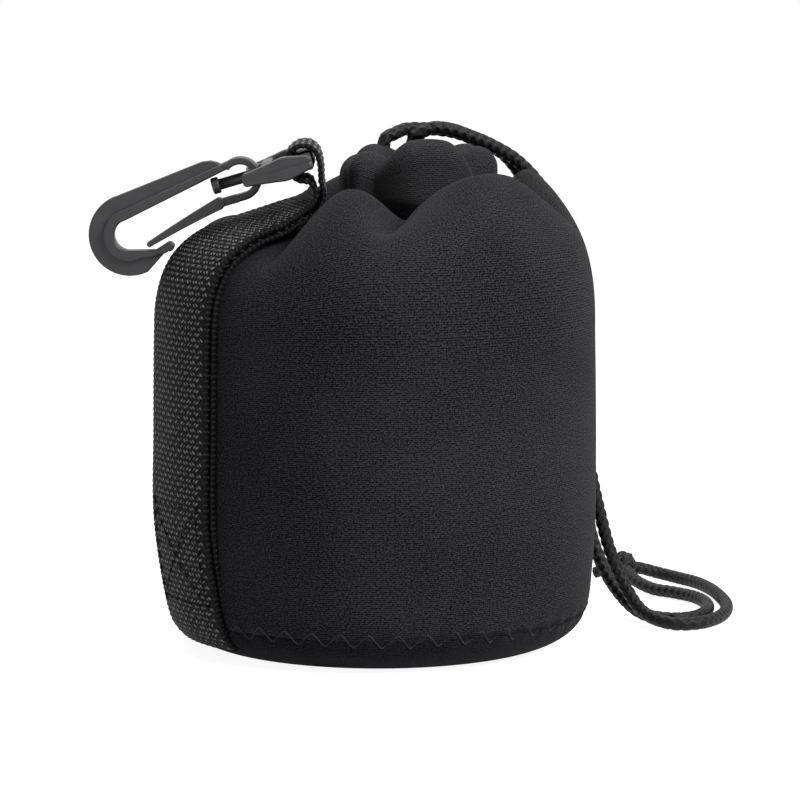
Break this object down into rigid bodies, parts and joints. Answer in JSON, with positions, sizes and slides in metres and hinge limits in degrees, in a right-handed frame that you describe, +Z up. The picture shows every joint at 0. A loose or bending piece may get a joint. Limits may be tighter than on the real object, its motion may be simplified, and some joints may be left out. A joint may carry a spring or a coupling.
{
  "type": "drawstring lens pouch",
  "caption": "Round padded neoprene pouch with a drawcord mouth, a webbing belt strap up one side and a plastic swivel snap hook, for carrying a camera lens.",
  "frame": {"origin": "middle of the base's flat underside, on the surface that the pouch stands on", "axes": "+Z up out of the mouth, -X towards the belt strap, +Y towards the back right of the pouch"},
  "size_m": [0.1322, 0.0796, 0.096],
  "materials": {
    "base_neoprene": "matte black knit-faced neoprene",
    "wall_neoprene": "matte black knit-faced neoprene, fine rows across",
    "hem_neoprene": "matte black knit-faced neoprene, turned over and sewn",
    "drawcord": "black braided polyester cord",
    "webbing": "black woven nylon webbing with bright float yarns",
    "hook_plastic": "satin dark grey moulded plastic"
  },
  "bodies": {
    "pouch": {"base_panel": "base_neoprene", "wall_sleeve": "wall_neoprene", "shoulder_gathers": "wall_neoprene", "mouth_hem": "hem_neoprene", "hem_drawcord": "drawcord", "drawcord_long_end": "drawcord", "drawcord_short_end": "drawcord", "drawcord_knot": "drawcord", "strap_inner_layer": "webbing", "strap_top_fold": "webbing", "strap_outer_layer": "webbing"},
    "loop": {"swivel_loop": "hook_plastic"},
    "hook": {"hook_body": "hook_plastic"},
    "gate": {"hook_gate": "hook_plastic"}
  },
  "joints": [
    {"name": "loop_swing", "type": "hinge", "parent": "pouch", "child": "loop", "pos_m": [-0.0155, 0, 0.0889], "axis": [0.5, 0.866, 0], "range_deg": [0, 110]},
    {"name": "hook_swivel", "type": "hinge", "parent": "loop", "child": "hook", "pos_m": [-0.0155, 0, 0.0889], "axis": [-0.8308, 0.4797, -0.2823], "continuous": true},
    {"name": "gate_flex", "type": "hinge", "parent": "hook", "child": "gate", "pos_m": [-0.02879, 0.00767, 0.081], "axis": [0.5, 0.866, 0], "range_deg": [0, 18], "stiffness_Nm_per_rad": 0.02}
  ]
}
